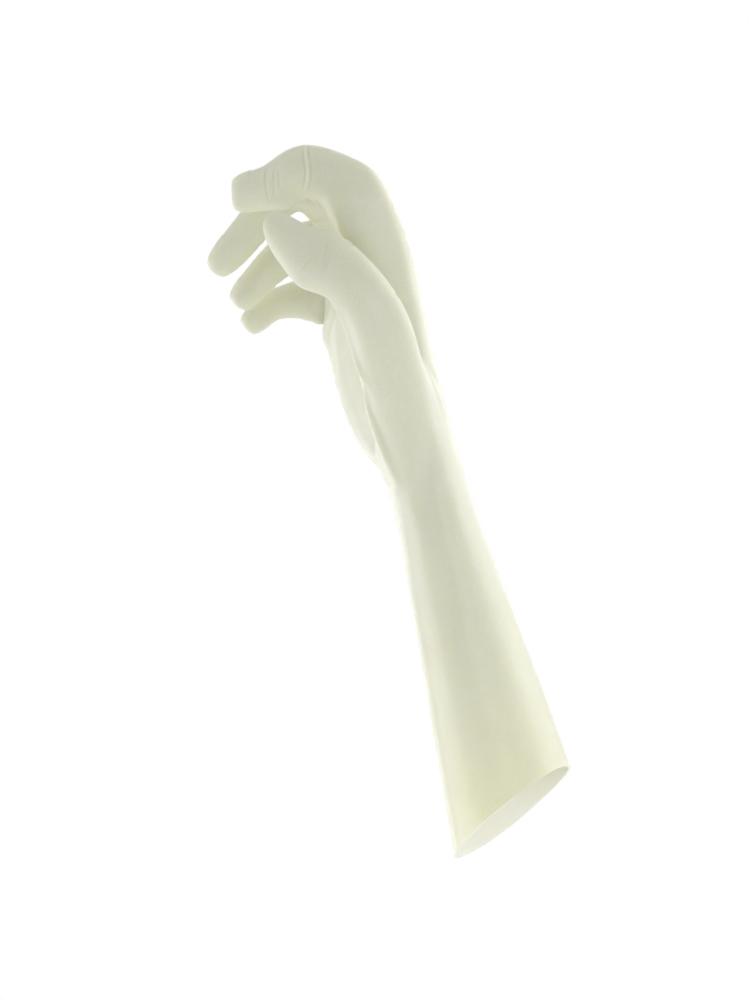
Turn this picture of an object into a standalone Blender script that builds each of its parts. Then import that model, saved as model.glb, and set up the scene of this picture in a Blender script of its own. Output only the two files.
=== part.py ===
"""A long-cuffed latex glove for the right hand, in the shape it has on a hand that pinches something flat.

The glove is one dipped piece: a thin shell, open at the slanted mouth of its flared sleeve.
+Z runs up the sleeve to the hand, +X is the back of the hand, and -Y is the thumb's side.
The origin is the centre of the mouth, where the arm goes in.

The shell is a cage of rings under a Subdivision Surface, thickened inwards by Solidify.
A ring of the sleeve or palm has 20 points. Each finger's ring has 8, of which its first
takes 6 from the palm's last ring and 2 from the webs or edges beside the finger.
"""

import math
from collections import namedtuple

import bmesh
import bpy
from mathutils import Vector

MM = 0.001

WALL = 1.0 * MM

# The sleeve, from its mouth up to the wrist
SLEEVE_LENGTH = 118 * MM
MOUTH_THICKNESS = 48.8 * MM
MOUTH_BREADTH = 62 * MM
MOUTH_RISE_TO_BACK = 23.7  # degrees that the mouth climbs towards the back of the hand
MOUTH_RISE_TO_THUMB = 11.0  # degrees that it climbs towards the thumb's side
SLANT_REACH = 0.9  # share of the sleeve's length over which that slant fades out
WRIST_THICKNESS = 27.8 * MM
WRIST_BREADTH = 52 * MM

# The palm, from the wrist to the knuckles
PALM_LENGTH = 111 * MM
PALM_BREADTH = 70 * MM
PALM_THICKNESS = 36 * MM

# Fingers and thumb
FINGER_LENGTH = 70 * MM
FINGER_THICKNESS = 20 * MM
FINGER_FLATNESS = 0.93  # a finger's width against its thickness
THUMB_LENGTH = 111 * MM
THUMB_THICKNESS = 26 * MM

WEB_EASING = 9  # rounds of smoothing where the fingers part

# The palm, which has one column of points under each finger
COLUMN_WIDTH = 0.84  # a column's width, in the finger's girths
FOOT_SPREAD = 0.80  # how far apart the columns start at the wrist, against the knuckles
OUTER_CORNER = 0.84  # thickness at the outermost corners, against the middle of their column
THUMB_EDGE = 1.22  # how far the palm's edge stands out beyond the index column's middle
LITTLE_EDGE = 1.40  # and beyond the little finger's, both in half widths of that column

SleeveRow = namedtuple("SleeveRow", "up flare")
SLEEVE_ROWS = (
    # up: share of the sleeve's length; flare: 1 at the mouth's size, 0 at the wrist's
    SleeveRow(up=0.00, flare=1.00),
    SleeveRow(up=0.07, flare=0.93),
    SleeveRow(up=0.27, flare=0.77),
    SleeveRow(up=0.51, flare=0.48),
    SleeveRow(up=0.74, flare=0.24),
    SleeveRow(up=0.90, flare=0.06),
)

Finger = namedtuple(
    "Finger", "name knuckle_up knuckle_back knuckle_across length girth shares pitch yaw"
)
FINGERS = (
    # knuckle_up: share of PALM_LENGTH; knuckle_back: share of half PALM_THICKNESS;
    # knuckle_across: share of half PALM_BREADTH, negative at the thumb's side;
    # length and girth: shares of FINGER_LENGTH and FINGER_THICKNESS;
    # shares: how the three bones share the length; pitch: degrees above level; yaw: degrees from the thumb
    Finger("index", 1.03, 0.11, -0.68, 0.75, 1.00, (0.43, 0.27, 0.30), (34, -15, 5), 19),
    Finger("middle", 1.00, 0.06, -0.04, 1.01, 0.86, (0.365, 0.31, 0.325), (29, -32, -35), 12),
    Finger("ring", 0.88, -0.03, 0.52, 0.83, 0.78, (0.42, 0.30, 0.28), (13, -28, -35), 7),
    Finger("little", 0.73, -0.17, 1.06, 0.72, 0.72, (0.46, 0.27, 0.27), (6, 2, -30), 2),
)

FingerRow = namedtuple("FingerRow", "bone along turn girth")
FINGER_ROWS = (
    # bone 0 to 2 from the knuckle; along: share of that bone; girth: share of the finger's own;
    # turn: share of the bend to the next bone that the ring has taken, or to the last one if negative
    FingerRow(bone=0, along=0.85, turn=0.0, girth=1.04),
    FingerRow(bone=1, along=0.10, turn=-0.5, girth=1.05),
    FingerRow(bone=1, along=0.50, turn=0.0, girth=0.92),
    FingerRow(bone=1, along=1.00, turn=0.5, girth=0.81),
    FingerRow(bone=2, along=0.40, turn=0.0, girth=0.77),
    FingerRow(bone=2, along=0.74, turn=0.0, girth=0.71),
    FingerRow(bone=2, along=0.95, turn=0.0, girth=0.46),
)

PalmRow = namedtuple("PalmRow", "up back palms valley from_wrist")
PALM_ROWS = (
    # up: share of the way from wrist to knuckle; back: share of half PALM_THICKNESS to the back;
    # palms: the same to the palm's side, in line with each finger from index to little;
    # valley: share of that between two fingers; from_wrist: share of the wrist's own oval
    PalmRow(0.09, 0.76, (0.90, 0.74, 0.82, 0.84), 0.97, 0.60),
    PalmRow(0.24, 0.70, (1.08, 0.76, 1.10, 1.22), 0.97, 0.12),
    PalmRow(0.41, 0.67, (0.94, 0.74, 1.16, 1.32), 0.98, 0.05),
    PalmRow(0.56, 0.69, (0.74, 0.76, 1.14, 1.30), 0.98, 0.00),
    PalmRow(0.70, 0.72, (0.70, 0.80, 1.08, 1.28), 0.97, 0.00),
    PalmRow(0.84, 0.74, (0.74, 0.82, 1.02, 1.24), 0.93, 0.00),
)
THUMB_HOLE_ROW = 0  # the thumb leaves the palm between this row and the second one above it

KnuckleRow = namedtuple("KnuckleRow", "along back_turn palm_turn back palms valley edge")
KNUCKLE_ROWS = (
    # along: share of the finger's first bone; turns: 0 level as in the palm, 1 square to the finger;
    # back and palms: shares of half the finger's girth, the latter from index to little;
    # edge: how far the outer fingers' sides stand out, against the palm's
    KnuckleRow(0.0, 0.45, 0.25, 1.15, (1.3, 1.7, 2.5, 3.0), 0.84, 0.85),
    KnuckleRow(0.42, 0.70, 0.60, 1.28, (1.1, 1.2, 1.4, 1.6), 0.84, 0.80),
)

ThumbRow = namedtuple("ThumbRow", "back out up width depth")
THUMB_ROWS = (
    # back and up: the ring's centre from the wrist's, in shares of THUMB_LENGTH;
    # out: beyond the palm's edge, in shares of THUMB_THICKNESS, as are width and depth:
    # its size across the thumb, and its size along the way out from the palm
    ThumbRow(back=-0.022, out=0.041, up=0.470, width=0.85, depth=0.74),
    ThumbRow(back=-0.024, out=0.161, up=0.580, width=0.85, depth=0.74),
    ThumbRow(back=-0.049, out=0.204, up=0.691, width=0.79, depth=0.72),
    ThumbRow(back=-0.108, out=0.182, up=0.782, width=0.80, depth=0.70),
    ThumbRow(back=-0.160, out=0.127, up=0.822, width=0.79, depth=0.66),
    ThumbRow(back=-0.209, out=0.037, up=0.865, width=0.72, depth=0.60),
    ThumbRow(back=-0.247, out=-0.053, up=0.925, width=0.60, depth=0.50),
    ThumbRow(back=-0.282, out=-0.117, up=0.995, width=0.42, depth=0.35),
)
THUMB_ROOT = ThumbRow(back=0.0, out=-0.492, up=0.25, width=0, depth=0)
THUMB_TIP = ThumbRow(back=-0.298, out=-0.151, up=1.055, width=0, depth=0)

Station = namedtuple("Station", "centre back across")
Column = namedtuple("Column", "centre back palm side")
TO_BACK = Vector((1, 0, 0))
ACROSS = Vector((0, 1, 0))
COLUMNS = 2 * len(FINGERS) + 1  # columns of points on the back, and as many on the palm's side
RING_POINTS = 2 * COLUMNS + 2
LITTLE_SIDE = COLUMNS
THUMB_SIDE = RING_POINTS - 1
FINGER_POINTS = 8


def clear_scene():
    for thing in list(bpy.data.objects):
        bpy.data.objects.remove(thing)


def ring_angles(count):
    """Round a ring: from the back's corner on the thumb's side, over the back, round by the palm's side."""
    step = math.tau / count
    return [math.pi - step * (place + 1) for place in range(count)]


def settling(count):
    """How near to its centre the smooth surface runs, against the ring of control points around it."""
    return (2 + math.cos(math.tau / count)) / 3


def bone_axes(pitch, yaw):
    """A finger bone's own axes: along it, to its back, and across it away from the thumb."""
    p, q = math.radians(pitch), math.radians(yaw)
    level = Vector((-math.cos(p), 0, math.sin(p)))
    back = Vector((math.sin(p), 0, math.cos(p)))
    along = level * math.cos(q) + ACROSS * math.sin(q)
    across = ACROSS * math.cos(q) - level * math.sin(q)
    return along, back, across


def knuckle(finger):
    return Vector(
        (
            finger.knuckle_back * PALM_THICKNESS / 2,
            finger.knuckle_across * PALM_BREADTH / 2,
            SLEEVE_LENGTH + finger.knuckle_up * PALM_LENGTH,
        )
    )


def finger_joints(finger):
    joints = [knuckle(finger)]
    for share, pitch in zip(finger.shares, finger.pitch):
        along = bone_axes(pitch, finger.yaw)[0]
        joints.append(joints[-1] + along * (finger.length * FINGER_LENGTH * share))
    return joints


def finger_stations(finger):
    joints = finger_joints(finger)
    for row in FINGER_ROWS:
        pitch = finger.pitch[row.bone]
        if row.turn:
            neighbour = finger.pitch[row.bone + (1 if row.turn > 0 else -1)]
            pitch += (neighbour - pitch) * abs(row.turn)
        centre = joints[row.bone].lerp(joints[row.bone + 1], row.along)
        back, across = bone_axes(pitch, finger.yaw)[1:]
        yield row, Station(centre, back, across)


def finger_ring(station, half_thick, half_wide):
    """Control points of a finger's ring, whose smooth surface has the given half sizes."""
    out = 1 / settling(FINGER_POINTS)
    points = []
    for angle in ring_angles(FINGER_POINTS):
        rise = station.back * (math.sin(angle) * half_thick * out)
        reach = station.across * (math.cos(angle) * half_wide * out)
        points.append(station.centre + rise + reach)
    return points


def oval(up, half_thick, half_wide):
    """Control points of a level oval ring of the sleeve or wrist."""
    out = 1 / settling(RING_POINTS)
    points = []
    for angle in ring_angles(RING_POINTS):
        points.append(Vector((math.sin(angle) * half_thick * out, math.cos(angle) * half_wide * out, up)))
    return points


def sleeve_rings():
    rings = []
    slope_back = math.tan(math.radians(MOUTH_RISE_TO_BACK))
    slope_thumb = math.tan(math.radians(MOUTH_RISE_TO_THUMB))
    for row in SLEEVE_ROWS:
        thick = WRIST_THICKNESS + (MOUTH_THICKNESS - WRIST_THICKNESS) * row.flare
        wide = WRIST_BREADTH + (MOUTH_BREADTH - WRIST_BREADTH) * row.flare
        ring = oval(SLEEVE_LENGTH * row.up, thick / 2, wide / 2)
        slant = max(0, 1 - row.up / SLANT_REACH)
        for point in ring:
            point.z += slant * (slope_back * point.x - slope_thumb * point.y)
        rings.append(ring)
    return rings


def palm_ring(columns, valley, edge):
    """The ring around four finger columns, which share a corner where two of them meet."""
    back_line, palm_line = [], []
    outermost = ((columns[0], -1), (columns[-1], 1))
    for column in columns:
        for corner in (-1, 0, 1):
            share = valley if corner else 1
            if (column, corner) in outermost:
                share = OUTER_CORNER
            beside = column.centre + column.side * corner
            back_line.append(beside + column.back * share)
            palm_line.append(beside + column.palm * share)
    for line in (back_line, palm_line):
        for number in reversed(range(1, len(columns))):
            last_corner = 3 * number - 1
            line[last_corner] = (line[last_corner] + line.pop(last_corner + 1)) / 2
    thumb_side = columns[0].centre - columns[0].side * (THUMB_EDGE * edge)
    little_side = columns[-1].centre + columns[-1].side * (LITTLE_EDGE * edge)
    return back_line + [little_side] + palm_line[::-1] + [thumb_side]


def palm_rings():
    wrist = Vector((0, 0, SLEEVE_LENGTH))
    half_palm = TO_BACK * (PALM_THICKNESS / 2)
    rings = []
    for row in PALM_ROWS:
        columns = []
        for finger, palm in zip(FINGERS, row.palms):
            foot = wrist + ACROSS * (finger.knuckle_across * WRIST_BREADTH / 2 * FOOT_SPREAD)
            centre = foot.lerp(knuckle(finger), row.up)
            narrow = FOOT_SPREAD + (1 - FOOT_SPREAD) * row.up
            side = ACROSS * (finger.girth * FINGER_THICKNESS / 2 * COLUMN_WIDTH * narrow)
            columns.append(Column(centre, half_palm * row.back, half_palm * -palm, side))
        ring = palm_ring(columns, row.valley, 1)
        around = oval(SLEEVE_LENGTH + row.up * PALM_LENGTH, WRIST_THICKNESS / 2, WRIST_BREADTH / 2)
        rings.append([own.lerp(even, row.from_wrist) for own, even in zip(ring, around)])
    return rings


def knuckle_rings():
    """The last two rings of the palm: over the knuckles, and where the fingers part."""
    for row in KNUCKLE_ROWS:
        columns = []
        for finger, palm in zip(FINGERS, row.palms):
            half = finger.girth * FINGER_THICKNESS / 2
            centre = knuckle(finger).lerp(finger_joints(finger)[1], row.along)
            back, across = bone_axes(90 + (finger.pitch[0] - 90) * row.back_turn, finger.yaw)[1:]
            front = bone_axes(90 + (finger.pitch[0] - 90) * row.palm_turn, finger.yaw)[1]
            side = across * (half * COLUMN_WIDTH)
            columns.append(Column(centre, back * (half * row.back), front * (-half * palm), side))
        yield palm_ring(columns, row.valley, row.edge)


def thumb_centre(row):
    return Vector(
        (
            row.back * THUMB_LENGTH,
            -PALM_BREADTH / 2 - row.out * THUMB_THICKNESS,
            row.up * THUMB_LENGTH + SLEEVE_LENGTH,
        )
    )


def thumb_stations():
    centres = [thumb_centre(row) for row in (*THUMB_ROWS, THUMB_TIP)]
    before = [thumb_centre(THUMB_ROOT)] + centres
    for row, centre, last, after in zip(THUMB_ROWS, centres, before, centres[1:]):
        along = (after - last).normalized()
        out = (-ACROSS + along * along.dot(ACROSS)).normalized()
        yield row, Station(centre, out, out.cross(along))


class Cage:
    """The glove's control mesh, built ring by ring."""

    def __init__(self):
        self.mesh = bmesh.new()
        self.webs = []  # points where fingers and thumb part, eased after smoothing

    def ring(self, points):
        return [self.mesh.verts.new(point) for point in points]

    def bridge(self, lower, upper, gaps=()):
        count = len(lower)
        for here in range(count):
            there = (here + 1) % count
            if here not in gaps:
                self.mesh.faces.new((lower[here], lower[there], upper[there], upper[here]))

    def dome(self, ring, top):
        crown = self.mesh.verts.new(top)
        closed = ring + ring[:1]
        for start in range(0, FINGER_POINTS, 2):
            self.mesh.faces.new((*closed[start : start + 3], crown))


def palm_point(column):
    """The place in a ring of the point on the palm's side that faces this one on the back."""
    return RING_POINTS - 2 - column


def add_finger(cage, number, web_ring, web_points):
    """A finger's tube from its share of the palm's last ring to its tip."""
    finger = FINGERS[number]
    columns = range(2 * number, 2 * number + 3)
    back = [web_ring[column] for column in columns]
    palm = [web_ring[palm_point(column)] for column in columns]
    previous = back + [web_points[number + 1]] + palm[::-1] + [web_points[number]]
    for row, station in finger_stations(finger):
        half = finger.girth * row.girth * FINGER_THICKNESS / 2
        ring = cage.ring(finger_ring(station, half, half * FINGER_FLATNESS))
        cage.bridge(previous, ring)
        previous = ring
    cage.dome(previous, finger_joints(finger)[-1])


def thumb_ring(row, station):
    points = []
    half = THUMB_THICKNESS / 2 / settling(FINGER_POINTS)
    for place in range(FINGER_POINTS):
        angle = math.tau * place / FINGER_POINTS
        deep = station.back * (math.cos(angle) * row.depth)
        wide = station.across * (math.sin(angle) * row.width)
        points.append(station.centre + (deep + wide) * half)
    return points


def add_thumb(cage, low, middle, high):
    """The thumb's tube, out of a hole between three of the palm's rings, in the thumb's side."""
    back, palm = 0, palm_point(0)
    below = [low[THUMB_SIDE], low[palm], middle[palm]]
    above = [high[palm], high[THUMB_SIDE], high[back]]
    previous = below + above + [middle[back], low[back]]
    cage.webs += above
    for row, station in thumb_stations():
        ring = cage.ring(thumb_ring(row, station))
        cage.bridge(previous, ring)
        previous = ring
    cage.dome(previous, thumb_centre(THUMB_TIP))


def web_between(web_ring, column):
    """The point of the web between two fingers, halfway from back to palm."""
    return (web_ring[column].co + web_ring[palm_point(column)].co) / 2


def build_cage():
    cage = Cage()
    sleeve = [cage.ring(points) for points in sleeve_rings()]
    palm = [cage.ring(points) for points in palm_rings()]
    knuckles, web = (cage.ring(points) for points in knuckle_rings())
    rings = [*sleeve, *palm, knuckles, web]
    low, middle, high = palm[THUMB_HOLE_ROW : THUMB_HOLE_ROW + 3]
    for lower, upper in zip(rings, rings[1:]):
        beside_thumb = lower in (low, middle)
        cage.bridge(lower, upper, gaps=(palm_point(0), THUMB_SIDE) if beside_thumb else ())
    between = [cage.mesh.verts.new(web_between(web, column)) for column in range(2, COLUMNS - 1, 2)]
    cage.webs += web + between
    web_points = [web[THUMB_SIDE], *between, web[LITTLE_SIDE]]
    for number in range(len(FINGERS)):
        add_finger(cage, number, web, web_points)
    add_thumb(cage, low, middle, high)
    cage.mesh.verts.remove(middle[THUMB_SIDE])
    bmesh.ops.recalc_face_normals(cage.mesh, faces=cage.mesh.faces)
    cage.mesh.verts.index_update()
    return cage


def latex():
    material = bpy.data.materials.new("latex")
    material.use_nodes = True
    shader = material.node_tree.nodes["Principled BSDF"]
    shader.inputs["Base Color"].default_value = (0.80, 0.79, 0.64, 1)
    shader.inputs["Roughness"].default_value = 0.42
    shader.inputs["Metallic"].default_value = 0.0
    return material


def add_glove(collection):
    mesh = bpy.data.meshes.new("glove")
    cage = build_cage()
    eased_points = [vert.index for vert in cage.webs]
    cage.mesh.to_mesh(mesh)
    cage.mesh.free()
    mesh.materials.append(latex())
    glove = bpy.data.objects.new("glove", mesh)
    collection.objects.link(glove)
    glove.vertex_groups.new(name="webs").add(eased_points, 1.0, "REPLACE")
    rounded = glove.modifiers.new("rounded", "SUBSURF")
    rounded.levels = rounded.render_levels = 1
    eased = glove.modifiers.new("eased webs", "SMOOTH")
    eased.vertex_group = "webs"
    eased.factor = 0.5
    eased.iterations = WEB_EASING
    wall = glove.modifiers.new("wall", "SOLIDIFY")
    wall.thickness = WALL
    wall.offset = -1
    mesh.shade_smooth()
    return glove


def main():
    clear_scene()
    collection = bpy.data.collections.new("latex glove")
    bpy.context.scene.collection.children.link(collection)
    add_glove(collection)


main()
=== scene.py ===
import math
from collections import namedtuple

import bmesh
import bpy
import numpy as np
from mathutils import Matrix, Vector, noise


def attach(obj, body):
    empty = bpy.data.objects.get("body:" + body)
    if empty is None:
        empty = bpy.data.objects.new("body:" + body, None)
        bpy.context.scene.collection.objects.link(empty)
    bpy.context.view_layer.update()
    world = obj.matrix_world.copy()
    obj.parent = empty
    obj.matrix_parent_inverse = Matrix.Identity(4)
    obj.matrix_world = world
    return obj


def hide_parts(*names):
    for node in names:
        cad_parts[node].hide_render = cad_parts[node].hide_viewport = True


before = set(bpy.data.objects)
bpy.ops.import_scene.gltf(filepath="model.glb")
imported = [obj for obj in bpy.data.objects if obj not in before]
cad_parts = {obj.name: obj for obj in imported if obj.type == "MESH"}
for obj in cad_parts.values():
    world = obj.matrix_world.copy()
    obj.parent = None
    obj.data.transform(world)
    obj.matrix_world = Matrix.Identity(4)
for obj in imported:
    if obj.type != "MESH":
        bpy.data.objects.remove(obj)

# The dressed glove: the frame's own outer surface, subdivided, with the folds, creases and soft forms
# that thin latex takes on a bent hand, and an inner wall. +Z runs up the sleeve, +X is the back of the
# hand and -Y the thumb's side. The tables are in millimetres and degrees, and the meshes in metres.

MM = 0.001

# The wall and its mouth
WALL_MM = 0.9
MOUTH_RISE_TO_BACK = 23.7  # degrees that the mouth's plane climbs towards the back
MOUTH_RISE_TO_THUMB = 11.0
RIM_REACH_MM = 1.5
RIM_FACING = 0.8  # how squarely the rim's faces look out of the mouth, where 1 is straight
WELD_MM = 0.01

# Fineness of the mesh: everywhere, and then twice more near the forms narrower than these
FINE_LEVELS = 2
NARROW_MM = 1.3  # folds below this have a swell on either side, and take painted shade and highlight
FINER_BELOW_MM = (NARROW_MM, 0.65)
FINE_REACH = 2.0  # how far from a form's line the finer mesh goes, in widths

# The cross-section of a form, in widths, and how it fades out
FOLD_REACH = 3.5
COUNTER_SWELL = 0.28
SWELL_PLACE = 2.1
FOLD_END = 0.25  # the share of a fold's length over which each end fades
FOLD_FACING = 0.35  # a fold fades on surfaces that face its side less squarely than this
DEPTH_FADE_MM = 1

# The camera, at the photographed angle
CAMERA_PLACE_MM = (-20.2, -2000, 122.2)
CAMERA_ROLL = 14.3  # degrees that the picture's upright leans towards the back of the hand
CAMERA_LENS_MM = 198
CAMERA_SIGHT_M = 100

# The room's light: everywhere, and what its sides and its back add to that, by how far the way looked
# points along the Y axis
ROOM_BASE = 0.51
Glow = namedtuple("Glow", "begins full strength")
ROOM_SIDES = Glow(0.90, 0.25, 0.50)  # either way along the axis
ROOM_BACK = Glow(0.60, 0.95, 0.80)
WHITE = (1, 1, 1, 1)

# Softboxes: place in mm, side in mm, power in watts; they face the glove's middle
SOFTBOXES = (
    ("right", (1200, 650, 450), 1100, 5.0),
    ("left", (-1250, 500, 50), 1100, 4.9),
    ("behind, right", (600, 1350, 350), 500, 0.7),
    ("behind, left", (-520, 1400, 150), 500, 0.6),
    ("below, in front", (300, -1300, -60), 1000, 3.7),
)
LIGHTS_AIM_MM = (-15, 0, 140)

FLOOR_HEIGHT_MM = -120
FLOOR_SIZE_MM = 12000
FLOOR_GLOW = 0.22
FLOOR_COLOUR = (0.85, 0.85, 0.85, 1)
FLOOR_ROUGHNESS = 0.9

# The latex's colours: cream, then the patches of noise over it, from broad clouds to grains of powder
CREAM = (0.80, 0.80, 0.60, 1)
Patches = namedtuple("Patches", "scale detail low high share colour")
PATCHES = (
    # scale: for each metre; low and high: the noise's values where the colour begins and is at its share
    Patches(28, 3, 0.35, 0.65, 1.0, (0.77, 0.765, 0.57, 1)),
    Patches(140, 4, 0.50, 0.75, 0.5, (0.83, 0.82, 0.65, 1)),
    Patches(1500, 2, 0.56, 0.70, 0.5, (0.87, 0.865, 0.74, 1)),
)
# Painted shade and highlight: the narrow creases are painted darker and their ridges paler, by their height
ReliefShadeAndHighlight = namedtuple("ReliefShadeAndHighlight", "begins full share colour")
RELIEF_SHADE_AND_HIGHLIGHT = (
    # begins and full: heights in mm, of the creases and then of their ridges
    ReliefShadeAndHighlight(-0.08, -0.6, 0.55, (0.69, 0.675, 0.46, 1)),
    ReliefShadeAndHighlight(0.08, 0.5, 0.50, (0.86, 0.86, 0.71, 1)),
)
# Painted light: the inner wall's paler colour stands for light let in through the mouth and the thin wall
INSIDE_PAINTED_LIGHT = (0.90, 0.90, 0.80, 1)

# Its gloss, grain and depth
GLOSS_SCALE = 90
GLOSS_DETAIL = 4
GLOSS_NOISE = (0.3, 0.7)
GLOSS_ROUGHNESS = (0.34, 0.47)
LATEX_SHADER = {
    "IOR": 1.48,
    "Subsurface Weight": 0.6,
    "Subsurface Radius": (1.0, 0.9, 0.5),
    "Subsurface Scale": 0.003,
    "Coat Weight": 0.3,
    "Coat Roughness": 0.22,
    "Sheen Weight": 0.9,
    "Sheen Roughness": 0.2,
    "Sheen Tint": (1.0, 1.0, 0.86, 1),
}
Bump = namedtuple("Bump", "scale detail strength height_mm")
POWDER_BUMP = Bump(2600, 2, 0.25, 0.06)
DIMPLE_BUMP = Bump(320, 4, 0.25, 0.3)

# The bones under the latex, which place the creases of the joints
Finger = namedtuple("Finger", "name knuckle bones pitch yaw girth")
FINGERS = (
    # knuckle: its place; bones: their lengths; pitch above level and yaw from the thumb, in degrees
    Finger("index", (2.0, -23.8, 232.3), (22.6, 14.2, 15.8), (34, -15, 5), 19, 20.0),
    Finger("middle", (1.1, -1.4, 229.0), (25.8, 21.9, 23.0), (29, -32, -35), 12, 17.2),
    Finger("ring", (-0.5, 18.2, 215.7), (24.4, 17.4, 16.3), (13, -28, -35), 7, 15.6),
    Finger("little", (-3.1, 37.1, 199.0), (23.2, 13.6, 13.6), (6, 2, -30), 2, 14.4),
)
THUMB_JOINTS = ((-1, -26, 146), (-4, -39.5, 188), (-17, -38.5, 209), (-33, -31, 235))
THUMB_BACK = (-0.75, -0.45, -0.48)
THUMB_GIRTH = 21.0
PALM_BONE_MM = 60
PALM_BONE_SPREAD = 0.6  # how far out the palm bones' feet lie, against the knuckles

# Creases that run round a finger, at its joints
Crease = namedtuple("Crease", "joint offset height width middle reach bow")
FINGER_CREASES = (
    # joint: 1 the knuckle, 2 the middle joint, 3 the end joint; offset: mm past it, towards the tip;
    # height: of the ridge, or of a valley if negative; middle and reach: the degrees round the finger that
    # it is centred on (0 the back, 90 the thumb's side, 180 the pad) and covers each way;
    # bow: mm that its ends lie further on than its middle
    Crease(2, 0.0, -0.36, 1.10, 216, 60, -1.4),
    Crease(2, -3.2, -0.22, 1.05, 212, 50, -2.0),
    Crease(2, 3.3, -0.24, 1.05, 218, 52, 1.6),
    Crease(2, -1.6, 0.14, 1.05, 214, 48, -1.6),
    Crease(2, 1.7, 0.16, 1.05, 214, 48, 0.2),
    Crease(3, 0.0, -0.28, 1.05, 210, 58, -1.0),
    Crease(3, 2.6, -0.16, 1.05, 206, 46, 1.4),
    Crease(3, -2.4, -0.14, 1.05, 212, 44, -1.4),
)
KNUCKLE_CREASES = (
    Crease(1, 4.5, -0.50, 1.60, 212, 46, 1.0),
    Crease(1, 8.5, -0.25, 1.40, 210, 40, 2.2),
)
BACK_CREASES = (
    Crease(2, -3.4, -0.16, 0.70, -16, 52, 1.6),
    Crease(2, -0.4, -0.18, 0.70, -22, 46, 1.0),
    Crease(2, 2.7, -0.15, 0.70, -18, 54, -1.2),
    Crease(3, -1.9, -0.15, 0.66, -20, 48, 1.0),
    Crease(3, 0.3, -0.16, 0.66, -14, 44, 0.5),
    Crease(3, 2.3, -0.13, 0.66, -18, 50, -0.8),
)
THUMB_CREASES = (
    Crease(1, 0.0, -0.30, 1.40, 222, 50, -2.0),
    Crease(1, 4.5, -0.24, 1.30, 214, 46, 1.4),
    Crease(2, 0.0, -0.34, 1.00, 188, 42, -1.4),
    Crease(2, 3.0, -0.22, 1.00, 184, 40, 1.4),
    Crease(2, 1.5, 0.15, 1.00, 186, 38, 0.2),
    Crease(2, -2.6, -0.18, 1.00, 188, 38, -2.0),
    Crease(2, -2.2, -0.16, 0.70, -30, 40, 1.4),
    Crease(2, 0.4, -0.18, 0.70, -26, 38, 0.8),
    Crease(2, 2.8, -0.14, 0.70, -24, 42, -0.8),
)
CREASE_WOBBLE_MM = 0.25
CREASE_WOBBLES = ((3, 1, 1.0), (5, 2, 0.5))  # waves round the finger, phases that they start at, size
CREASE_PHASES = (1.7, 2.3)  # what the finger's number and the crease's offset add to its phase, in radians
CREASE_UNLIKE = 0.25  # how much the creases' heights differ
CREASE_FADE = 0.5  # the share of its reach at which a crease begins to fade
CREASE_GIRTH_MM = 18  # the finger's girth that the heights are for
DIGIT_REACH = 0.66  # a point further from the bones than this share of the girth is no finger's

# The nail's plate, faint through the latex, in shares of the last bone's length and of the girth
NAIL_START = 0.40
NAIL_END = 0.92
NAIL_HALF_WIDTH = 0.31
NAIL_LOWEST = 0.2  # above the bone, so that its corners don't reach round the tip
NAIL_EDGE_MM = 0.8
NAIL_RISE_MM = {"index": 0.30, "middle": 0.24, "ring": 0.24, "little": 0.22, "thumb": 0.12}

Digit = namedtuple("Digit", "name joints alongs backs girth creases")

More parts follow.
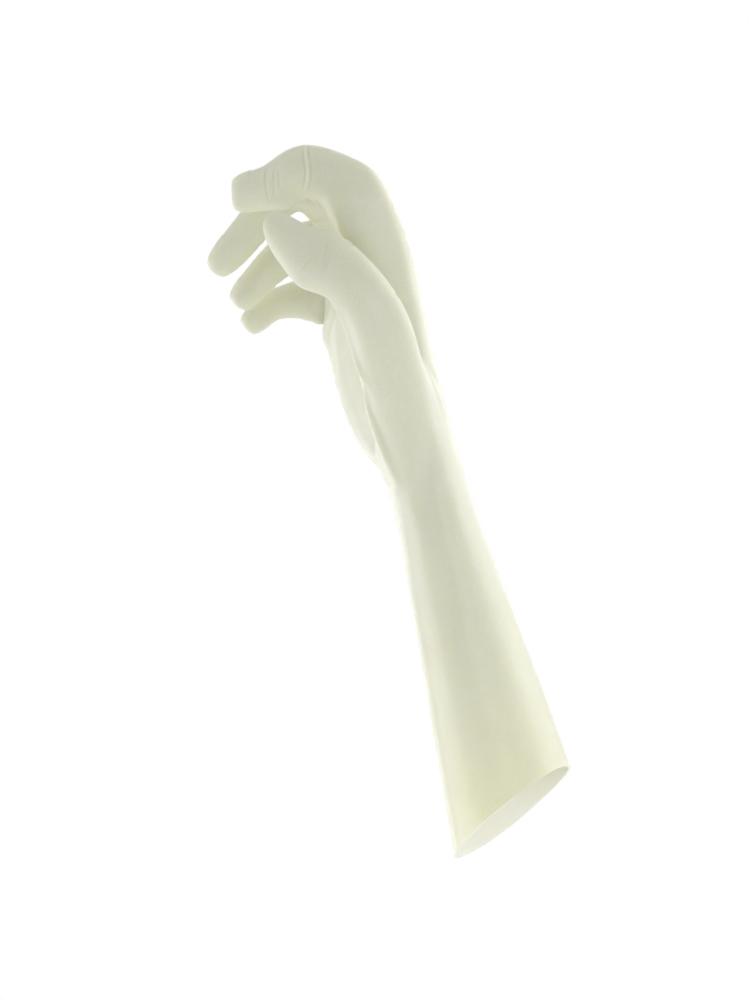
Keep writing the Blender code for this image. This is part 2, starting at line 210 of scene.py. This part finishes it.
# Folds and hollows drawn on a side of the glove, as seen square to it
Side = namedtuple("Side", "out first second")
SIDES = {
    # out: the way the side faces; first and second: the axes that its routes are given in
    "thumb": Side((0, -1, 0), 0, 2),
    "little": Side((0, 1, 0), 0, 2),
    "palm": Side((-1, 0, 0), 1, 2),
    "back": Side((1, 0, 0), 1, 2),
}
Fold = namedtuple("Fold", "name side depths height widths route")
FOLDS = (
    # depths: the range along the side's own axis in which the surface lies;
    # height: of the ridge, or of a valley if negative; widths: at the route's two ends
    Fold("index middle joint, ridge", "thumb", (-40, -14), 0.22, (0.5, 0.5),
         ((-13.3, 253.5), (-13.9, 246.4), (-15.0, 240.8), (-17.2, 236.0))),
    Fold("index middle joint, front", "thumb", (-40, -14), -0.2, (0.4, 0.4),
         ((-14.3, 253.4), (-14.9, 246.5), (-16.0, 240.9), (-18.2, 236.2))),
    Fold("index middle joint, behind", "thumb", (-40, -14), -0.2, (0.4, 0.4),
         ((-12.3, 253.5), (-12.9, 246.4), (-14.0, 240.5), (-16.2, 235.8))),
    Fold("index end joint, first", "thumb", (-40, -8), -0.24, (0.4, 0.4),
         ((-28.0, 248.6), (-29.6, 245.4), (-30.6, 240.8), (-30.7, 235.5))),
    Fold("index end joint, second", "thumb", (-40, -8), -0.2, (0.36, 0.36),
         ((-25.0, 249.0), (-26.6, 244.6), (-27.6, 240.9), (-29.2, 236.0))),
    Fold("index end joint, third", "thumb", (-40, -8), -0.18, (0.36, 0.36),
         ((-24.4, 247.0), (-25.3, 242.6), (-25.6, 239.4), (-26.2, 237.4))),
    Fold("thumb end joint, first", "thumb", (-60, -40), -0.2, (0.6, 0.6),
         ((-12.2, 211.8), (-15.9, 207.9), (-18.2, 205.3), (-19.3, 202.3))),
    Fold("thumb end joint, second", "thumb", (-60, -40), -0.16, (0.6, 0.6),
         ((-14.6, 215.2), (-16.2, 210.6), (-17.4, 207.0))),
    Fold("wrist hollow", "thumb", (-40, -8), -1.1, (1.8, 9.0),
         ((6.6, 143.5), (4.2, 135.5), (0.8, 126.5), (-2.4, 114), (-5, 92), (-6.5, 62))),
    Fold("wrist wrinkle, upper", "thumb", (-40, -8), -0.20, (0.8, 0.7),
         ((-13.6, 125.6), (-11.0, 122.3), (-8.6, 118.6))),
    Fold("wrist wrinkle, lower", "thumb", (-40, -8), -0.22, (0.8, 0.7),
         ((-13.0, 117.3), (-10.1, 112.6), (-6.6, 109.0))),
    Fold("palm, below the fingers", "palm", (-45, 0), -0.7, (2.0, 2.4),
         ((26, 184), (14, 192), (0, 203), (-10, 209), (-19, 213))),
    Fold("palm, across", "palm", (-45, 0), -0.4, (2.2, 2.6),
         ((-25, 197), (-13, 190), (2, 179), (16, 170))),
    Fold("palm, round the thumb", "palm", (-45, 0), -0.6, (2.4, 3.0),
         ((-20, 198), (-12, 186), (-5, 168), (-4, 150), (-8, 132))),
    Fold("palm, pull from the thumb, upper", "palm", (-45, 0), 0.28, (1.6, 2.6),
         ((-25, 172), (-14, 165), (-2, 157), (10, 150))),
    Fold("palm, pull from the thumb, middle", "palm", (-45, 0), 0.28, (1.5, 2.4),
         ((-25, 168), (-16, 157), (-5, 146), (6, 136))),
    Fold("ball of the thumb, rim, upper", "palm", (-45, 0), 1.7, (2.2, 1.8),
         ((-41, 196), (-38, 187), (-36.5, 177), (-35.5, 168), (-34.5, 161))),
    Fold("ball of the thumb, rim, lower", "palm", (-45, 0), 1.5, (1.8, 2.2),
         ((-30, 169), (-28, 161), (-26, 152), (-23.5, 142), (-21, 131), (-19, 124))),
    Fold("ball of the thumb, line, upper", "palm", (-45, 0), 0.5, (0.8, 0.7),
         ((-40, 193), (-38, 186), (-36.5, 177), (-35.5, 169), (-34.5, 163))),
    Fold("ball of the thumb, line, lower", "palm", (-45, 0), 0.5, (0.7, 0.9),
         ((-29.5, 167), (-28, 160), (-26, 151), (-23.5, 142), (-21, 132))),
    Fold("palm, beside the pull", "palm", (-45, 0), -0.4, (1.4, 2.0),
         ((-24, 166), (-13, 156), (0, 146), (12, 138))),
    Fold("palm, under the index finger", "palm", (-45, 0), -0.45, (1.6, 2.0),
         ((-19, 207), (-14, 199), (-8, 192), (-1, 186))),
    Fold("palm, little side, upper", "palm", (-45, 0), -0.22, (1.4, 1.8),
         ((36, 168), (28, 170), (18, 175))),
    Fold("palm, little side, lower", "palm", (-45, 0), -0.2, (1.4, 1.8),
         ((35, 150), (26, 150), (14, 154))),
    Fold("wrist, palm side, upper", "palm", (-30, 0), -0.26, (1.3, 1.3),
         ((-22, 124.5), (-8, 126.5), (8, 126), (24, 122))),
    Fold("wrist, palm side, swell", "palm", (-30, 0), 0.12, (1.4, 1.4),
         ((-20, 121), (-8, 122.8), (8, 122), (22, 118.6))),
    Fold("wrist, palm side, lower", "palm", (-30, 0), -0.22, (1.3, 1.3),
         ((-22, 116.5), (-8, 118.8), (8, 118), (22, 114.5))),
    Fold("wrist, little side, upper", "little", (10, 45), -0.3, (1.0, 1.0),
         ((-14, 121), (-4, 123), (7, 128))),
    Fold("wrist, little side, lower", "little", (10, 45), -0.25, (1.0, 1.0),
         ((-13, 113), (-4, 115), (6, 120))),
    Fold("heel, little side", "little", (20, 60), -0.22, (1.3, 1.8),
         ((-18, 150), (-8, 146), (4, 147))),
    Fold("little knuckle, side", "little", (25, 60), -0.26, (1.3, 1.9),
         ((-19, 182), (-12, 184), (-4, 180), (4, 172))),
    Fold("tendon to the index finger", "back", (-5, 40), 0.6, (2.4, 3.4),
         ((-4, 140), (-11, 170), (-19, 200), (-23, 222))),
    Fold("tendon to the middle finger", "back", (-5, 40), 0.6, (2.4, 3.4),
         ((1, 142), (0, 172), (-1, 200), (-1.4, 222))),
    Fold("tendon to the ring finger", "back", (-5, 40), 0.55, (2.2, 3.2),
         ((6, 142), (10, 170), (15, 194), (18, 208))),
    Fold("tendon to the little finger", "back", (-5, 40), 0.5, (2.0, 3.0),
         ((11, 142), (20, 162), (30, 182), (36, 194))),
    Fold("between index and middle knuckles", "back", (-5, 40), -0.6, (3.0, 3.6),
         ((-9, 190), (-11.5, 206), (-12.5, 222), (-12.5, 236))),
    Fold("between middle and ring knuckles", "back", (-5, 40), -0.6, (3.0, 3.4),
         ((6, 182), (8, 198), (9, 212), (9, 226))),
    Fold("between ring and little knuckles", "back", (-5, 40), -0.6, (2.8, 3.2),
         ((18, 172), (23, 186), (27, 198), (28, 210))),
    Fold("web of the thumb, upper", "back", (-12, 40), 0.25, (1.2, 2.2),
         ((-24, 168), (-19, 163), (-14, 160), (-8, 158))),
    Fold("web of the thumb, middle", "back", (-12, 40), 0.22, (1.4, 2.2),
         ((-25, 162), (-21, 154), (-15, 145), (-8, 136))),
    Fold("web of the thumb, lower", "back", (-12, 40), 0.18, (1.4, 2.0),
         ((-27, 158), (-25, 148), (-22, 136), (-18, 124))),
    Fold("web of the thumb, hollow", "back", (-12, 40), -0.28, (1.4, 2.2),
         ((-24, 165), (-19, 158), (-12, 151), (-5, 146))),
    Fold("wrist, back, upper", "back", (-5, 30), -0.12, (1.0, 1.0),
         ((-16, 131), (-4, 128), (8, 129), (18, 132))),
    Fold("wrist, back, lower", "back", (-5, 30), -0.1, (1.0, 1.0),
         ((-14, 122), (-2, 119.5), (10, 121))),
)

# Soft parts pushed a little further than the plain form, all in mm; the push fades out round its place
Push = namedtuple("Push", "name place radius shift")
PUSHES = (
    Push("pad of the thumb", (-26.5, -37, 203), 8.0, (-1.5, 0, -1.4)),
    Push("tip of the thumb", (-32, -31, 234), 6.0, (0.8, 0, 0.9)),
    Push("end joint of the thumb", (-12.5, -40, 216), 8.0, (1.0, 0, 1.8)),
    Push("root of the little finger", (-19, 35, 195), 8.0, (-0.9, 0, -4.2)),
    Push("web under the little finger", (-22.5, 34, 188), 7.0, (-1.3, 0, -1.0)),
    Push("index finger, under its middle", (-25, -15, 234), 6.5, (0, 0, -1.6)),
    Push("index fingertip, end", (-45, -11, 242), 5.0, (0.7, 0, 0.1)),
    Push("index fingertip, under its end", (-41.3, -12, 236.6), 4.0, (-1.7, 0, -0.3)),
)

# Long soft waves of the sleeve, which grow towards the mouth, and the skin's slight unevenness
SLEEVE_TOP_MM = 105
SLEEVE_WAVE_MM = 0.5
SLEEVE_WAVES = ((3, 0.4, 1.0), (5, 2.1, 0.4), (8, 4.4, 0.12), (13, 1.2, 0.04))  # count, start, share
SLEEVE_TWIST = 0.012  # how far round the waves lean, in radians for each mm of height
UNEVEN = ((16.0, 0.22), (6.0, 0.06))  # scale and height, in mm
LIP_WIDTH_MM = 1.4
LIP_RISE_MM = 0.22


def smooth(value, low, high):
    """0 below low, 1 above high, with a soft step between."""
    share = np.clip((value - low) / (high - low), 0, 1)
    return share * share * (3 - 2 * share)


def hump(distance):
    return np.exp(-(distance**2))


def profile(distance, swell):
    """A fold's cross-section: its line, and the counter-swell on either side."""
    return hump(distance) - swell * hump(np.abs(distance) - SWELL_PLACE)


def unit(vector):
    vector = np.asarray(vector, float)
    return vector / np.linalg.norm(vector)


def finger_digit(finger):
    """A finger's joints from the palm bone's foot to the tip, with each bone's way along and its back."""
    knuckle = np.array(finger.knuckle)
    palm_foot = knuckle * (PALM_BONE_SPREAD, PALM_BONE_SPREAD, 1) - (0, 0, PALM_BONE_MM)
    joints, alongs, backs = [palm_foot, knuckle], [unit(knuckle - palm_foot)], [np.array((1.0, 0, 0))]
    yaw = math.radians(finger.yaw)
    for length, degrees in zip(finger.bones, finger.pitch):
        pitch = math.radians(degrees)
        level = -math.cos(pitch) * math.cos(yaw)
        along = np.array((level, math.sin(yaw), math.sin(pitch) * math.cos(yaw)))
        joints.append(joints[-1] + along * length)
        alongs.append(along)
        backs.append(np.array((math.sin(pitch), 0, math.cos(pitch))))
    creases = FINGER_CREASES + KNUCKLE_CREASES + BACK_CREASES
    if finger.name == "index":  # pinching against the thumb has pulled its back and its root smooth
        creases = FINGER_CREASES
    return Digit(finger.name, joints, alongs, backs, finger.girth, creases)


def thumb_digit():
    joints = [np.array(place, float) for place in THUMB_JOINTS]
    alongs = [unit(after - before) for before, after in zip(joints, joints[1:])]
    hint = unit(THUMB_BACK)
    backs = [unit(hint - along * hint.dot(along)) for along in alongs]
    return Digit("thumb", joints, alongs, backs, THUMB_GIRTH, THUMB_CREASES)


def mouth_normal():
    """The way out of the mouth, square to its plane."""
    slope_back = math.tan(math.radians(MOUTH_RISE_TO_BACK))
    slope_thumb = math.tan(math.radians(MOUTH_RISE_TO_THUMB))
    return Vector((slope_back, -slope_thumb, -1)).normalized()


def linked_groups(mesh):
    """The mesh's faces, in groups that hang together."""
    left = set(mesh.faces)
    while left:
        group = [left.pop()]
        for face in group:
            for edge in face.edges:
                for other in edge.link_faces:
                    if other in left:
                        left.remove(other)
                        group.append(other)
        yield group


def outer_surface(node):
    """The frame glove's outer wall alone, from its mouth to its tips, in quads."""
    mesh = bmesh.new()
    mesh.from_mesh(node.data)
    bmesh.ops.remove_doubles(mesh, verts=mesh.verts, dist=WELD_MM * MM)
    mesh.normal_update()
    out = mouth_normal()
    rim = []
    for face in mesh.faces:
        above_mouth = abs(face.calc_center_median().dot(out))
        if face.normal.dot(out) > RIM_FACING and above_mouth < RIM_REACH_MM * MM:
            rim.append(face)
    bmesh.ops.delete(mesh, geom=rim, context="FACES")
    inner, _ = sorted(linked_groups(mesh), key=lambda group: sum(face.calc_area() for face in group))
    bmesh.ops.delete(mesh, geom=inner, context="FACES")
    any_angle = math.pi
    bmesh.ops.join_triangles(
        mesh, faces=mesh.faces, angle_face_threshold=any_angle, angle_shape_threshold=any_angle
    )
    return mesh


def route_points(route, steps=12):
    """Points along a smooth curve through the route's own."""
    points = [np.array(place, float) for place in route]
    points = [2 * points[0] - points[1], *points, 2 * points[-1] - points[-2]]
    dense = []
    for before, start, end, after in zip(points, points[1:], points[2:], points[3:]):
        for step in range(steps):
            t = step / steps
            bend = 2 * before - 5 * start + 4 * end - after
            twist = 3 * start - before - 3 * end + after
            dense.append(start + 0.5 * t * (end - before + t * (bend + t * twist)))
    dense.append(points[-2])
    return np.array(dense)


def beside_segment(points, start, end):
    """Each point's distance to the straight line from start to end, and how far along it that is."""
    length = np.linalg.norm(end - start)
    way = (end - start) / length
    run = np.clip((points - start) @ way, 0, length)
    return np.linalg.norm(points - start - np.outer(run, way), axis=1), run


def distance_to_route(flat, route):
    """Each point's distance to the route, and how far along it the nearest place is, from 0 to 1."""
    nearest = np.full(len(flat), np.inf)
    share = np.zeros(len(flat))
    dense = route_points(route)
    lengths = np.linalg.norm(np.diff(dense, axis=0), axis=1)
    begun = np.concatenate(([0], np.cumsum(lengths)))
    for start, end, before in zip(dense, dense[1:], begun):
        gap, run = beside_segment(flat, start, end)
        closer = gap < nearest
        nearest[closer] = gap[closer]
        share[closer] = (before + run[closer]) / begun[-1]
    return nearest, share


def distance_to_bones(places, joints):
    nearest = np.full(len(places), np.inf)
    for start, end in zip(joints, joints[1:]):
        gap, _ = beside_segment(places, start, end)
        nearest = np.minimum(nearest, gap)
    return nearest


class Skin:
    """A wall of the glove as arrays, in millimetres, with the forms that are pressed into it."""

    def __init__(self, data, digits):
        self.data = data
        self.digits = digits
        self.read()
        gaps = np.array([distance_to_bones(self.places, digit.joints[1:]) / digit.girth for digit in digits])
        self.owner = np.where(gaps.min(axis=0) < DIGIT_REACH, gaps.argmin(axis=0), -1)

    def read(self):
        count = len(self.data.vertices)
        places = np.empty(count * 3, np.float32)
        self.data.vertices.foreach_get("co", places)
        self.places = places.reshape(-1, 3).astype(float) / MM
        ways = np.empty(count * 3, np.float32)
        self.data.vertex_normals.foreach_get("vector", ways)
        self.ways = ways.reshape(-1, 3).astype(float)

    def write(self):
        self.data.vertices.foreach_set("co", (self.places * MM).astype(np.float32).ravel())
        self.data.update()
        self.read()

    def raise_by(self, height):
        self.places += self.ways * np.asarray(height)[..., None]
        self.write()

    def to_fold(self, fold):
        """The points that the fold can reach, their distance from its line in widths, and its share there."""
        side = SIDES[fold.side]
        out = np.array(side.out)
        low, high = fold.depths
        reach = FOLD_REACH * max(fold.widths)
        depth = self.places @ np.abs(out)
        flat = self.places[:, (side.first, side.second)]
        near = (self.ways @ out > 0) & (depth > low) & (depth < high)
        near &= (flat > np.min(fold.route, axis=0) - reach).all(axis=1)
        near &= (flat < np.max(fold.route, axis=0) + reach).all(axis=1)
        near = np.nonzero(near)[0]
        gap, run = distance_to_route(flat[near], fold.route)
        width = fold.widths[0] + (fold.widths[1] - fold.widths[0]) * run
        share = np.sqrt(smooth(run, 0, FOLD_END) * (1 - smooth(run, 1 - FOLD_END, 1)))
        share *= smooth(self.ways[near] @ out, 0, FOLD_FACING)
        share *= smooth(depth[near], low, low + DEPTH_FADE_MM)
        share *= 1 - smooth(depth[near], high - DEPTH_FADE_MM, high)
        return near, gap / width, share

    def to_crease(self, digit, number, crease):
        """Each point's distance from the crease's line in widths, along the finger, and its share there."""
        joint = crease.joint
        along = unit(digit.alongs[joint - 1] + digit.alongs[joint])
        back = digit.backs[joint - 1] + digit.backs[joint]
        back = unit(back - along * along.dot(back))
        from_joint = self.places - digit.joints[joint]
        angle = np.degrees(np.arctan2(from_joint @ np.cross(back, along), from_joint @ back))
        turn = (angle - crease.middle + 180) % 360 - 180
        share = (self.owner == number) * (1 - smooth(np.abs(turn), crease.reach * CREASE_FADE, crease.reach))
        phase = CREASE_PHASES[0] * number + CREASE_PHASES[1] * crease.offset + joint
        share *= 1 + CREASE_UNLIKE * math.sin(3 * phase)
        line = crease.offset + crease.bow * (turn / crease.reach) ** 2
        for waves, phases, size in CREASE_WOBBLES:
            line += CREASE_WOBBLE_MM * size * np.sin(np.radians(turn * waves) + phases * phase)
        return (from_joint @ along - line) / crease.width, share

    def to_nail(self, digit, number):
        """How far each point is inside its nail's outline, in mm."""
        along, back = digit.alongs[-1], digit.backs[-1]
        from_joint = self.places - digit.joints[-2]
        length = np.linalg.norm(digit.joints[-1] - digit.joints[-2])
        run = from_joint @ along
        across = np.abs(from_joint @ np.cross(back, along))
        inside = np.minimum(run - NAIL_START * length, NAIL_END * length - run)
        inside = np.minimum(inside, NAIL_HALF_WIDTH * digit.girth - across)
        inside = np.minimum(inside, from_joint @ back - NAIL_LOWEST * digit.girth)
        return np.where(self.owner == number, inside, -np.inf)

    def above_mouth(self):
        return -self.places @ np.array(mouth_normal())

    def needs_finer(self, narrowest):
        """Marks the points beside a form that is narrower than this."""
        near = np.zeros(len(self.places), bool)
        for fold in FOLDS:
            if min(fold.widths) < narrowest:
                points, gap, _ = self.to_fold(fold)
                near[points[gap < FINE_REACH]] = True
        for number, digit in enumerate(self.digits):
            for crease in digit.creases:
                if crease.width < narrowest:
                    gap, share = self.to_crease(digit, number, crease)
                    near |= (share > 0) & (np.abs(gap) < FINE_REACH)
            if NAIL_EDGE_MM < narrowest:
                near |= np.abs(self.to_nail(digit, number)) < NAIL_EDGE_MM
        return near

    def press(self, narrowest):
        """Presses in every form that is at least this wide, and keeps the narrow ones' height as relief."""
        narrow = np.zeros(len(self.places))
        broad = self.sleeve_waves() + self.unevenness()
        broad += LIP_RISE_MM * hump(self.above_mouth() / LIP_WIDTH_MM)
        self.add_folds(narrowest, narrow, broad)
        for number, digit in enumerate(self.digits):
            self.add_creases(digit, number, narrowest, narrow)
            if NAIL_EDGE_MM >= narrowest:
                inside = self.to_nail(digit, number)
                broad += NAIL_RISE_MM[digit.name] * smooth(inside, -NAIL_EDGE_MM / 2, NAIL_EDGE_MM / 2)
        self.relief = narrow
        self.raise_by(narrow + broad)
        self.push()

    def add_folds(self, narrowest, narrow, broad):
        """Adds each fold's height to that of the narrow forms or of the broad ones."""
        for fold in FOLDS:
            width = min(fold.widths)
            if width >= narrowest:
                points, gap, share = self.to_fold(fold)
                swell = COUNTER_SWELL if width < NARROW_MM else 0
                height = narrow if width < NARROW_MM else broad
                height[points] += fold.height * profile(gap, swell) * share

    def add_creases(self, digit, number, narrowest, narrow):
        for crease in digit.creases:
            if crease.width >= narrowest:
                gap, share = self.to_crease(digit, number, crease)
                girth = digit.girth / CREASE_GIRTH_MM
                narrow += crease.height * girth * profile(gap, COUNTER_SWELL) * share

    def push(self):
        for push in PUSHES:
            gap = np.linalg.norm(self.places - push.place, axis=1)
            self.places += np.outer(hump(gap / push.radius), push.shift)
        self.write()

    def sleeve_waves(self):
        turn = np.arctan2(self.places[:, 1], self.places[:, 0])
        twist = self.places[:, 2] * SLEEVE_TWIST
        height = sum(size * np.sin(count * turn + start + twist) for count, start, size in SLEEVE_WAVES)
        return SLEEVE_WAVE_MM * height * (1 - smooth(self.places[:, 2], 0, SLEEVE_TOP_MM))

    def unevenness(self):
        height = np.zeros(len(self.places))
        for scale, size in UNEVEN:
            height += size * np.array([noise.noise(Vector(place) / scale) for place in self.places])
        return height


def subdivided(mesh, levels):
    """The cage as a smooth mesh, with no modifier left on it."""
    rough = bpy.data.meshes.new("rough")
    mesh.to_mesh(rough)
    holder = bpy.data.objects.new("rough", rough)
    bpy.context.collection.objects.link(holder)
    finer = holder.modifiers.new("finer", "SUBSURF")
    finer.levels = finer.render_levels = levels
    view = bpy.context.evaluated_depsgraph_get()
    data = bpy.data.meshes.new_from_object(holder.evaluated_get(view))
    bpy.data.objects.remove(holder)
    return data


def refine(data, near):
    """Splits the faces that have a marked corner into four."""
    mesh = bmesh.new()
    mesh.from_mesh(data)
    faces = [face for face in mesh.faces if any(near[vert.index] for vert in face.verts)]
    edges = {edge for face in faces for edge in face.edges}
    bmesh.ops.subdivide_edges(mesh, edges=list(edges), cuts=1, use_grid_fill=True, smooth=0.0)
    mesh.to_mesh(data)
    mesh.free()
    data.update()


def outer_wall(cage, digits):
    data = subdivided(cage, FINE_LEVELS)
    for narrowest in FINER_BELOW_MM:
        refine(data, Skin(data, digits).needs_finer(narrowest))
    skin = Skin(data, digits)
    skin.press(0)
    return skin


def inner_wall(cage, digits):
    """The hollow's surface, with only the wide folds of the outer one."""
    skin = Skin(subdivided(cage, FINE_LEVELS - 1), digits)
    skin.press(NARROW_MM)
    skin.raise_by(-WALL_MM)
    return skin


def joined(outer, inner):
    """Both walls as one mesh, closed round the mouth."""
    mesh = bmesh.new()
    mesh.from_mesh(outer.data)
    count = len(mesh.faces)
    mesh.from_mesh(inner.data)
    mesh.faces.ensure_lookup_table()
    bmesh.ops.reverse_faces(mesh, faces=mesh.faces[count:])
    rim = [edge for edge in mesh.edges if edge.is_boundary]
    bmesh.ops.bridge_loops(mesh, edges=rim)
    for face in mesh.faces:
        face.smooth = True
    for edge in rim:
        edge.smooth = False
    data = outer.data
    mesh.to_mesh(data)
    mesh.free()
    # The narrow forms' height, which the latex turns into painted shade in the creases and painted highlight
    # on the ridges
    relief = data.attributes.new("relief", "FLOAT", "POINT")
    relief.data.foreach_set("value", np.concatenate((outer.relief, -inner.relief)))
    # Marks the inner wall, which the latex paints paler as painted light
    inside = data.attributes.new("inside", "FLOAT", "POINT")
    inside.data.foreach_set("value", np.repeat((0.0, 1.0), (len(outer.places), len(inner.places))))
    return data


def add_glove():
    cage = outer_surface(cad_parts["glove"])
    digits = [finger_digit(finger) for finger in FINGERS] + [thumb_digit()]
    data = joined(outer_wall(cage, digits), inner_wall(cage, digits))
    cage.free()
    data.materials.clear()
    data.materials.append(latex())
    glove = bpy.data.objects.new("latex_glove", data)
    bpy.context.collection.objects.link(glove)
    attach(glove, "root")
    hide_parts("glove")


class Nodes:
    """A short way to lay out a node tree."""

    def __init__(self, tree):
        self.nodes = tree.nodes
        self.links = tree.links

    def add(self, kind, feeds=(), **values):
        node = self.nodes.new(kind)
        for name, value in values.items():
            setattr(node, name, value)
        for socket, source in dict(feeds).items():
            if isinstance(source, bpy.types.NodeSocket):
                self.links.new(source, node.inputs[socket])
            else:
                node.inputs[socket].default_value = source
        return node

    def noise(self, place, scale, detail):
        feeds = {"Vector": place, "Scale": scale, "Detail": detail}
        return self.add("ShaderNodeTexNoise", feeds).outputs["Fac"]

    def spread(self, value, low, high, to_low, to_high, **values):
        feeds = {"Value": value, "From Min": low, "From Max": high, "To Min": to_low, "To Max": to_high}
        return self.add("ShaderNodeMapRange", feeds, **values).outputs[0]

    def mixed(self, share, first, second):
        """Two colours mixed, at the Mix node's own sockets for colours."""
        feeds = {"Factor": share, 6: first, 7: second}
        return self.add("ShaderNodeMix", feeds, data_type="RGBA").outputs[2]

    def attribute(self, name):
        return self.add("ShaderNodeAttribute", attribute_name=name).outputs["Fac"]

    def bump(self, place, bump, feeds):
        """A bump of noise, over the one that feeds its Normal, if any."""
        height = self.noise(place, bump.scale, bump.detail)
        feeds = {"Strength": bump.strength, "Distance": bump.height_mm * MM, "Height": height, **feeds}
        return self.add("ShaderNodeBump", feeds).outputs[0]


def latex():
    """Thin powdered latex, cream with a green cast, cloudy; with painted shade in its creases, painted
    highlight on its ridges.
    """
    material = bpy.data.materials.new("latex")
    material.use_nodes = True
    shader = material.node_tree.nodes["Principled BSDF"]
    tree = Nodes(material.node_tree)
    place = tree.add("ShaderNodeTexCoord").outputs["Object"]
    colour = CREAM
    for patches in PATCHES:
        grain = tree.noise(place, patches.scale, patches.detail)
        share = tree.spread(grain, patches.low, patches.high, 0, patches.share)
        colour = tree.mixed(share, colour, patches.colour)
    # Painted shade in the creases and painted highlight on their ridges, by the narrow forms' height
    relief = tree.attribute("relief")
    for relief_shade in RELIEF_SHADE_AND_HIGHLIGHT:
        share = tree.spread(relief, relief_shade.begins, relief_shade.full, 0, relief_shade.share)
        colour = tree.mixed(share, colour, relief_shade.colour)
    # Painted light: the inner wall is painted paler, for light let in through the mouth and the thin wall
    colour = tree.mixed(tree.attribute("inside"), colour, INSIDE_PAINTED_LIGHT)
    tree.links.new(colour, shader.inputs["Base Color"])
    gloss = tree.noise(place, GLOSS_SCALE, GLOSS_DETAIL)
    tree.links.new(tree.spread(gloss, *GLOSS_NOISE, *GLOSS_ROUGHNESS), shader.inputs["Roughness"])
    for name, value in LATEX_SHADER.items():
        shader.inputs[name].default_value = value
    powder = tree.bump(place, POWDER_BUMP, {})
    tree.links.new(tree.bump(place, DIMPLE_BUMP, {"Normal": powder}), shader.inputs["Normal"])
    return material


def add_camera():
    lens = bpy.data.cameras.new("camera")
    lens.lens = CAMERA_LENS_MM
    lens.clip_end = CAMERA_SIGHT_M
    camera = bpy.data.objects.new("camera", lens)
    bpy.context.collection.objects.link(camera)
    roll = math.radians(CAMERA_ROLL)
    right = Vector((math.cos(roll), 0, -math.sin(roll)))
    up = Vector((math.sin(roll), 0, math.cos(roll)))
    back = right.cross(up)
    turn = Matrix((right, up, back)).transposed()
    camera.matrix_world = Matrix.Translation(Vector(CAMERA_PLACE_MM) * MM) @ turn.to_4x4()
    bpy.context.scene.camera = camera


def add_softboxes():
    for name, place, side, power in SOFTBOXES:
        lamp = bpy.data.lights.new(name, "AREA")
        lamp.size = side * MM
        lamp.energy = power
        box = bpy.data.objects.new(name, lamp)
        bpy.context.collection.objects.link(box)
        box.location = Vector(place) * MM
        box.rotation_mode = "QUATERNION"
        box.rotation_quaternion = (Vector(LIGHTS_AIM_MM) - Vector(place)).to_track_quat("-Z", "Y")
        box.visible_camera = False


def add_floor():
    bpy.ops.mesh.primitive_plane_add(size=FLOOR_SIZE_MM * MM, location=(0, 0, FLOOR_HEIGHT_MM * MM))
    floor = bpy.context.object
    floor.name = "floor"
    material = bpy.data.materials.new("floor")
    material.use_nodes = True
    shader = material.node_tree.nodes["Principled BSDF"]
    shader.inputs["Base Color"].default_value = FLOOR_COLOUR
    shader.inputs["Roughness"].default_value = FLOOR_ROUGHNESS
    shader.inputs["Emission Color"].default_value = WHITE
    shader.inputs["Emission Strength"].default_value = FLOOR_GLOW
    tree = Nodes(material.node_tree)
    white = tree.add("ShaderNodeEmission", {"Strength": 1.0})
    seen = tree.add("ShaderNodeLightPath").outputs["Is Camera Ray"]
    mixed = tree.add("ShaderNodeMixShader", {0: seen, 1: shader.outputs[0], 2: white.outputs[0]})
    tree.links.new(mixed.outputs[0], material.node_tree.nodes["Material Output"].inputs["Surface"])
    floor.data.materials.append(material)


def add_world():
    """A white room, brightest behind the glove and dimmest in front of it."""
    world = bpy.data.worlds.new("white room")
    bpy.context.scene.world = world
    world.use_nodes = True
    world.node_tree.nodes.clear()
    tree = Nodes(world.node_tree)
    place = tree.add("ShaderNodeTexCoord").outputs["Generated"]
    back = tree.add("ShaderNodeSeparateXYZ", {"Vector": place}).outputs["Y"]
    either_way = tree.add("ShaderNodeMath", {0: back}, operation="ABSOLUTE").outputs[0]
    strength = ROOM_BASE
    for value, glow in ((either_way, ROOM_SIDES), (back, ROOM_BACK)):
        added = tree.spread(value, glow.begins, glow.full, 0, glow.strength, interpolation_type="SMOOTHSTEP")
        strength = tree.add("ShaderNodeMath", {0: strength, 1: added}, operation="ADD").outputs[0]
    seen = tree.add("ShaderNodeLightPath").outputs["Is Camera Ray"]
    lit = tree.add("ShaderNodeBackground", {"Strength": strength})
    white = tree.add("ShaderNodeBackground", {"Strength": 1.0, "Color": WHITE})
    mixed = tree.add("ShaderNodeMixShader", {0: seen, 1: lit.outputs[0], 2: white.outputs[0]})
    tree.add("ShaderNodeOutputWorld", {"Surface": mixed.outputs[0]})


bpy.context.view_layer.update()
add_glove()
add_camera()
add_floor()
add_softboxes()
add_world()
bpy.context.scene.view_settings.view_transform = "Standard"
